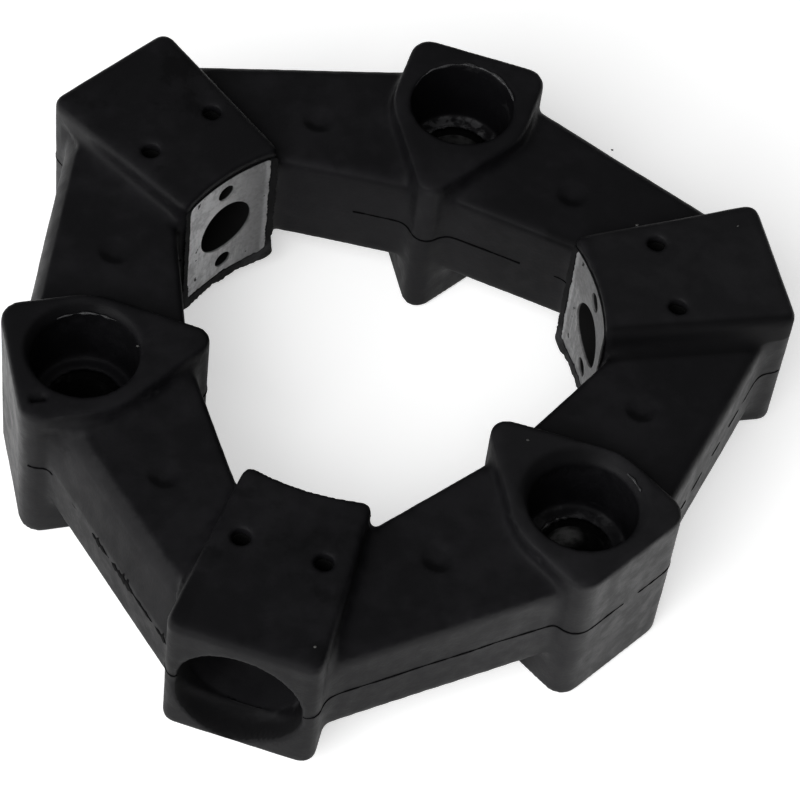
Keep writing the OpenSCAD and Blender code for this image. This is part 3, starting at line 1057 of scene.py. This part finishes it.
def new_material(name, specular=0.5, roughness=0.5):
    """A material with its net, its shader's inputs and the object's places."""
    material = bpy.data.materials.new(name)
    material.use_nodes = True
    material.node_tree.nodes.clear()
    net = Net(material.node_tree)
    surface = net.add("ShaderNodeBsdfPrincipled")
    surface.inputs["Specular IOR Level"].default_value = specular
    surface.inputs["Roughness"].default_value = roughness
    finish = net.add("ShaderNodeOutputMaterial")
    net.put(surface.outputs[0], finish.inputs["Surface"])
    return material, net, surface.inputs, net.add("ShaderNodeTexCoord").outputs["Object"]


def opaque(colour, times=1.0):
    """A colour with its alpha, made darker or paler."""
    return (*(c * times for c in colour), 1.0)


def rubber_material(p):
    """Black rubber with grey bloom, scuffs on the walls and dust on the floors, with painted shade in
    recesses and on some edges, painted light in the third block's recess, a painted highlight streak along
    one arm, and stained places.
    """
    material, net, surface, place = new_material("black rubber", specular=0.2)
    bloom = net.group(blotches_group(), Place=place, Scale=48.0, Low=0.42, High=0.66)
    scuffs = net.group(
        scuffs_group(), Place=place, Stretch=(1.0, 1.0, 1.6), Scale=170.0, Low=0.56)["Mask"]
    normal = net.axes(net.add("ShaderNodeNewGeometry").outputs["Normal"])
    wall = net.spread(net.maths("ABSOLUTE", normal["Z"]), 0.75, 0.25)
    pale_marks = net.times(scuffs, net.times(wall, 0.45))
    smudge = net.spread(net.noise(place, 160.0, 3.0, 0.6), 0.42, 0.68, 0.5, 1.0)
    crumbs = net.spread(net.noise(place, 430.0, 3.0, 0.6), 0.42, 0.6, 0.2, 1.0)
    stains = net.spread(net.noise(place, 105.0, 5.0, 0.65), 0.5, 0.6)

    mouth = net.group(mouth_group(), Place=place)
    # Paler inside the third block's recess, more in its lower right, where it is painted light.
    dust_and_painted_light = net.times(net.plus(0.42, net.times(mouth["Patch"], 0.24)), mouth["Inside"], smudge)
    # Painted shade kept on the mesh; more painted shade and the stains join it below.
    dull = net.add("ShaderNodeAttribute", attribute_name="dull").outputs["Fac"]
    # Painted shade over the worn lower lip of that recess.
    dull = net.most(dull, net.times(mouth["Rim"], 0.8))
    for lobe, dust in enumerate(FLOOR_DUST):
        bowl = net.group(bowl_group(), Place=place, Middle=(*lobe_screw(lobe), RECESS_FLOOR_Z))
        dust_and_painted_light = net.most(dust_and_painted_light, net.times(bowl["Floor"], dust, crumbs))
        # Painted shade on the walls of the lobes' recesses.
        dull = net.most(dull, net.times(net.less(bowl["Inside"], bowl["Floor"]), 0.35))
    # Dust on two tops, and a painted highlight streak along one arm's upper edge.
    dust_and_painted_light = net.most(dust_and_painted_light, net.times(boxes_mask(net, place, DUST_AND_HIGHLIGHT_BOXES), smudge))
    stained = net.times(boxes_mask(net, place, STAINED_BOXES), stains)
    # Painted shade in boxes on an arm's edge and on the sides of two blocks.
    dull = net.most(dull, boxes_mask(net, place, PAINTED_SHADE_BOXES), stained)

    # Bloom, dust and painted light make the rubber paler.
    bloom_dust_and_painted_light = net.most(net.times(bloom["Mask"], 0.75), dust_and_painted_light)
    colour = net.blend(bloom_dust_and_painted_light, opaque(p.dark), opaque(p.dust_and_painted_light))
    colour = net.blend(pale_marks, colour, opaque(p.pale_marks))
    # Dust and painted light blend further toward the pale colour.
    colour = net.blend(net.times(dust_and_painted_light, 0.6), colour, opaque(p.pale_marks))
    colour = net.blend(net.spread(dust_and_painted_light, 0.45, 1.0, 0.0, 0.85), colour, opaque(p.pale_marks, 2.8))
    # Painted shade, with the stains, darkens the colour toward 0.4 of clean rubber.
    net.put(net.blend(dull, colour, opaque(p.dark, 0.4)), surface["Base Color"])
    rough = net.spread(bloom["Fine"], 0.3, 0.7, p.roughness, p.roughness + 0.14)
    rough = net.plus(rough, net.times(pale_marks, 0.2))
    net.put(net.most(rough, net.times(dull, 0.95)), surface["Roughness"])
    grain = net.group(grain_group(), Place=place, Scale=1700.0, Skin=0.35, Swell=1.0)["Height"]
    net.put(net.bump(grain, 0.09 * MM), surface["Normal"])
    return material


def line_material(p):
    """Torn rubber of the mould line, nearly black as painted shade."""
    material, net, surface, place = new_material("mould line rubber", specular=0.1, roughness=0.85)
    mottle = net.group(blotches_group(), Place=place, Scale=300.0, Low=0.3, High=0.7)["Mask"]
    # Painted shade: the line is coloured 0.2 to 0.5 of clean rubber.
    net.put(net.blend(mottle, opaque(p.dark, 0.2), opaque(p.dark, 0.5)), surface["Base Color"])
    return material


def film_material(p):
    """Thin rubber round the seats, paler near their feet."""
    material, net, surface, place = new_material("torn rubber", specular=0.2, roughness=0.7)
    mottle = net.group(blotches_group(), Place=place, Scale=260.0, Low=0.36, High=0.66)["Mask"]
    foot = net.spread(net.axes(place)["Z"], INSERT_LOW.z + 0.5 * MM, INSERT_LOW.z + 5 * MM, 1.0, 0.1)
    colour = net.blend(net.times(mottle, foot), opaque(p.dark, 0.6), opaque(p.pale_marks, 1.6))
    net.put(colour, surface["Base Color"])
    return material


def rim_material(p):
    """Rubber rubbed smooth, so that it shines, with paler mottle that is partly painted highlight."""
    material, net, surface, place = new_material("polished rubber edge", specular=0.8)
    mottle = net.group(blotches_group(), Place=place, Scale=420.0, Low=0.3, High=0.7)
    # Partly painted highlight: the mottle runs up to 2.5 times the pale colour.
    net.put(net.blend(mottle["Mask"], opaque(p.dark), opaque(p.pale_marks, 2.5)), surface["Base Color"])
    net.put(net.spread(mottle["Fine"], 0.3, 0.7, 0.22, 0.4), surface["Roughness"])
    return material


def speck_material():
    """Pale dust."""
    material, net, surface, place = new_material("dust", roughness=0.8)
    mottle = net.group(blotches_group(), Place=place, Scale=900.0, Low=0.3, High=0.7)["Mask"]
    net.put(net.blend(mottle, (0.03, 0.03, 0.03, 1.0), (0.09, 0.09, 0.085, 1.0)), surface["Base Color"])
    return material


def seat_material(p, name, turn, lean_share):
    """Dull cast metal with smears and pits, with painted highlights along its two upright edges, painted
    light growing toward its left, and painted shade inside its holes.
    """
    material, net, surface, place = new_material(name, specular=0.2)
    own = net.turned_back(place, (0, 0, 0), (0, 0, turn))
    across = net.axes(own)["Y"]
    smear = net.group(blotches_group(), Place=own, Scale=190.0, Low=0.42, High=0.62)
    satin = net.group(
        scuffs_group(), Place=own, Stretch=(1.0, 7.0, 0.9), Scale=210.0, Low=0.46)["Mask"]
    # Painted highlight along the two upright edges.
    edge = net.spread(net.maths("ABSOLUTE", across), INSERT_HALF_W * 0.86, INSERT_HALF_W * 0.95)
    # Painted light, brighter toward the left.
    lean = net.spread(across, -INSERT_HALF_W, INSERT_HALF_W)
    pits = net.spread(net.noise(own, 520.0, 2.0, 0.5), 0.70, 0.74)
    # Painted shade inside the bore and pin holes.
    inside = net.spread(net.from_axis(own), SEAT_R + 0.05 * MM, SEAT_R + 0.45 * MM)
    # Painted highlights and light, with the satin streaks, lift the metal from a quarter of its colour.
    bright = net.plus(net.times(edge, 0.22), net.times(satin, 0.15), net.times(lean, lean_share))
    colour = net.blend(net.maths("MINIMUM", bright, 1.0), opaque(p.seat, 0.24), opaque(p.seat))
    colour = net.blend(net.times(smear["Mask"], 0.38), colour, opaque(p.stain))
    colour = net.blend(pits, colour, (0.02, 0.02, 0.02, 1.0))
    net.put(net.blend(inside, colour, opaque(p.bore_shade_and_stain)), surface["Base Color"])
    net.put(net.times(net.less(1.0, inside), 0.65), surface["Metallic"])
    rough = net.spread(smear["Fine"], 0.3, 0.7, 0.42, 0.62)
    net.put(net.most(rough, net.times(inside, 0.95)), surface["Roughness"])
    grain = net.group(grain_group(), Place=own, Scale=1500.0, Skin=0.6, Swell=0.8)["Height"]
    net.put(net.bump(net.less(grain, net.times(pits, 1.5)), 0.05 * MM), surface["Normal"])
    return material


def sleeve_material(p, name, lobe):
    """Dark stained metal, black with painted shade inside the bore but for painted light on its far wall.
    """
    material, net, surface, place = new_material(name, specular=0.2)
    lit_place, lit_reach, lit_share = BORE_LIGHT_PATCHES[lobe]
    own = net.vector("SUBTRACT", place, (*lobe_screw(lobe), 0.0))
    face = net.spread(net.from_axis(own), 5.4 * MM, 5.6 * MM)
    mottle = net.group(blotches_group(), Place=own, Scale=95.0, Low=0.46, High=0.64)
    metal = net.blend(mottle["Mask"], opaque(p.bore_shade_and_stain), opaque(p.sleeve))
    # Painted light on the bore's far wall, in the stain colour made paler.
    from_lit_place = net.vector("DISTANCE", own, [c * MM for c in lit_place])
    pale = net.spread(from_lit_place, lit_reach * 0.25 * MM, lit_reach * MM, lit_share, 0.0)
    pale = net.times(pale, net.spread(mottle["Fine"], 0.3, 0.6, 0.3, 1.0))
    # Painted shade inside the bore, with painted light on its far wall.
    bore = net.blend(pale, opaque(p.bore_shade_and_stain), opaque(p.stain, 3.5))
    net.put(net.blend(face, bore, metal), surface["Base Color"])
    net.put(net.times(face, 0.8), surface["Metallic"])
    rough = net.spread(mottle["Fine"], 0.3, 0.7, 0.4, 0.6)
    net.put(net.spread(face, 0.0, 1.0, 0.95, rough), surface["Roughness"])
    grain = net.group(grain_group(), Place=own, Scale=2400.0, Skin=0.5, Swell=0.3)["Height"]
    net.put(net.bump(grain, 0.03 * MM), surface["Normal"])
    return material


def facing(turn):
    """The level direction toward the camera's side, at a turn about the ring axis."""
    return math.sin(turn), -math.cos(turn), 0.0


def floor_material(p):
    """Pale floor, lit by itself in what the camera and the object's gloss see of it."""
    material, net, surface, place = new_material("pale floor", specular=0.0, roughness=0.9)
    surface["Base Color"].default_value = opaque(p.floor)
    surface["Emission Color"].default_value = (1.0, 1.0, 1.0, 1.0)
    heading = net.vector("NORMALIZE", place)
    front = net.vector("DOT_PRODUCT", heading, facing(p.azimuth - p.dark_heading))
    across = net.vector("DOT_PRODUCT", heading, (math.cos(p.azimuth), math.sin(p.azimuth), 0.0))
    beside = net.times(
        net.spread(across, -1.0, 1.0, p.left_lift, p.right_lift),
        net.spread(front, 0.47, 0.88, 1.0, 0.0),
        net.spread(front, -0.96, -0.82, 0.2, 1.0),
        net.spread(front, -0.4, 0.2, 0.45, 1.0),
        net.spread(net.vector("LENGTH", place), 45 * MM, 85 * MM))
    rays = net.add("ShaderNodeLightPath").outputs
    seen = net.times(net.most(rays["Is Camera Ray"], rays["Is Transmission Ray"]), p.floor_lift)
    net.put(net.plus(seen, net.times(rays["Is Glossy Ray"], beside)), surface["Emission Strength"])
    return material


def dress(obj, material):
    """Gives an object one material."""
    obj.data.materials.clear()
    obj.data.materials.append(material)


# Stage


def build_lamps():
    """Rectangular lamps; the object's gloss shows only some of them."""
    for name, place, size, power, in_gloss in LAMPS:
        light = bpy.data.lights.new(name, "AREA")
        light.shape = "RECTANGLE"
        light.size, light.size_y = size
        light.energy = power
        lamp = link_object(name, light)
        lamp.location = place
        lamp.rotation_euler = (Vector(LAMP_AIM) - Vector(place)).to_track_quat("-Z", "Y").to_euler()
        lamp.visible_glossy = in_gloss


def build_camera(p):
    """The camera, rolled about its line of sight."""
    data = bpy.data.cameras.new("camera")
    data.sensor_width = SENSOR_MM
    data.lens = p.lens
    data.clip_start, data.clip_end = 0.01, 20.0
    back = Vector(facing(p.azimuth)) * math.cos(p.elevation) + Vector((0, 0, math.sin(p.elevation)))
    level = Vector((math.cos(p.azimuth), math.sin(p.azimuth), 0.0))
    upward = back.cross(level)
    right = level * math.cos(p.roll) + upward * math.sin(p.roll)
    up = upward * math.cos(p.roll) - level * math.sin(p.roll)
    camera = link_object("camera", data)
    axes = Matrix((right, up, back)).transposed().to_4x4()
    camera.matrix_world = Matrix.Translation(Vector(p.aim) + back * p.distance) @ axes
    bpy.context.scene.camera = camera


def build_floor(p):
    """A wide floor under the lobes' feet."""
    corners = [(x * FLOOR_HALF, y * FLOOR_HALF, 0) for x, y in ((-1, -1), (1, -1), (1, 1), (-1, 1))]
    mesh = bpy.data.meshes.new("floor")
    mesh.from_pydata(corners, [], [(0, 1, 2, 3)])
    floor = link_object("floor", mesh)
    dress(floor, floor_material(p))


def build_backdrop(p):
    """White haze near the horizon on one side, under a dim ceiling."""
    world = bpy.data.worlds.new("studio")
    world.use_nodes = True
    net = Net(world.node_tree)
    background = world.node_tree.nodes["Background"]
    background.inputs["Color"].default_value = (1.0, 1.0, 1.0, 1.0)
    heading = net.add("ShaderNodeTexCoord").outputs["Generated"]
    height = net.axes(heading)["Z"]
    front = net.vector("DOT_PRODUCT", heading, facing(p.azimuth - p.haze_heading))
    haze = net.times(net.spread(height, 0.12, 0.55, 1.0, 0.0), net.spread(front, 0.1, 0.8), p.haze)
    ceiling = net.spread(height, 0.45, 0.78, p.sky * 0.1, p.sky)
    net.put(net.plus(haze, ceiling), background.inputs["Strength"])
    bpy.context.scene.world = world


# Operators


class COUPLING_OT_moulding(bpy.types.Operator):
    """Make the rubber moulding"""

    bl_idname = "coupling.moulding"
    bl_label = "Rubber moulding"

    def execute(self, context):
        rubber = context.scene.coupling_rubber
        moulding = build_moulding(rubber)
        dress(moulding, rubber_material(rubber))
        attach(moulding, ROOT)
        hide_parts("rubber_body")
        return {"FINISHED"}


class COUPLING_OT_flash(bpy.types.Operator):
    """Make the mould line on the moulding and the flash round the seats"""

    bl_idname = "coupling.flash"
    bl_label = "Mould line and flash"

    def execute(self, context):
        rubber = context.scene.coupling_rubber
        flash = context.scene.coupling_flash
        line = build_mould_line(flash, bpy.data.objects["moulding"])
        dress(line, line_material(rubber))
        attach(line, ROOT)
        film = build_seat_flash(flash)
        dress(film, film_material(rubber))
        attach(film, ROOT)
        return {"FINISHED"}


class COUPLING_OT_wear(bpy.types.Operator):
    """Make the polished rims of the lobes' recesses and the specks of dust"""

    bl_idname = "coupling.wear"
    bl_label = "Worn rims and dust"

    def execute(self, context):
        rims = build_worn_rims()
        dress(rims, rim_material(context.scene.coupling_rubber))
        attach(rims, ROOT)
        specks = build_specks()
        dress(specks, speck_material())
        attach(specks, ROOT)
        return {"FINISHED"}


class COUPLING_OT_inserts(bpy.types.Operator):
    """Finish the radial and axial inserts"""

    bl_idname = "coupling.inserts"
    bl_label = "Metal inserts"

    def execute(self, context):
        metal = context.scene.coupling_metal
        for i, node in enumerate(RADIAL_INSERTS):
            seat = seat_material(metal, f"seat metal {i + 1}", i * STEP, SEAT_PAINTED_LIGHT_LEANS[i])
            dress(FRAME["nodes"][node], seat)
        for i, node in enumerate(AXIAL_INSERTS):
            dress(FRAME["nodes"][node], sleeve_material(metal, f"sleeve metal {i + 1}", i))
        return {"FINISHED"}


class COUPLING_OT_stage(bpy.types.Operator):
    """Set the floor, the backdrop, the lamps and the camera"""

    bl_idname = "coupling.stage"
    bl_label = "Stage"

    def execute(self, context):
        stage = context.scene.coupling_stage
        build_floor(stage)
        build_backdrop(stage)
        build_lamps()
        build_camera(stage)
        context.scene.view_settings.view_transform = "Standard"
        return {"FINISHED"}


class COUPLING_PT_panel(bpy.types.Panel):
    """Sizes, colours and steps of the coupling"""

    bl_idname = "COUPLING_PT_panel"
    bl_label = "Ring coupling"
    bl_space_type = "VIEW_3D"
    bl_region_type = "UI"
    bl_category = "Coupling"

    def draw(self, context):
        for key, group in GROUPS.items():
            box = self.layout.box()
            for name in group.__annotations__:
                box.prop(getattr(context.scene, key), name)
        for operator in OPERATORS:
            self.layout.operator(operator.bl_idname)


GROUPS = {
    "coupling_rubber": CouplingRubber,
    "coupling_flash": CouplingFlash,
    "coupling_metal": CouplingMetal,
    "coupling_stage": CouplingStage,
}
OPERATORS = (
    COUPLING_OT_moulding, COUPLING_OT_flash, COUPLING_OT_wear, COUPLING_OT_inserts, COUPLING_OT_stage)
CLASSES = (*GROUPS.values(), *OPERATORS, COUPLING_PT_panel)


def register():
    for cls in CLASSES:
        bpy.utils.register_class(cls)
    for key, group in GROUPS.items():
        setattr(bpy.types.Scene, key, PointerProperty(type=group))


def unregister():
    for key in GROUPS:
        delattr(bpy.types.Scene, key)
    for cls in reversed(CLASSES):
        bpy.utils.unregister_class(cls)


def main():
    register()
    bpy.ops.coupling.moulding()
    bpy.ops.coupling.flash()
    bpy.ops.coupling.wear()
    bpy.ops.coupling.inserts()
    bpy.ops.coupling.stage()


if __name__ == "__main__":
    main()
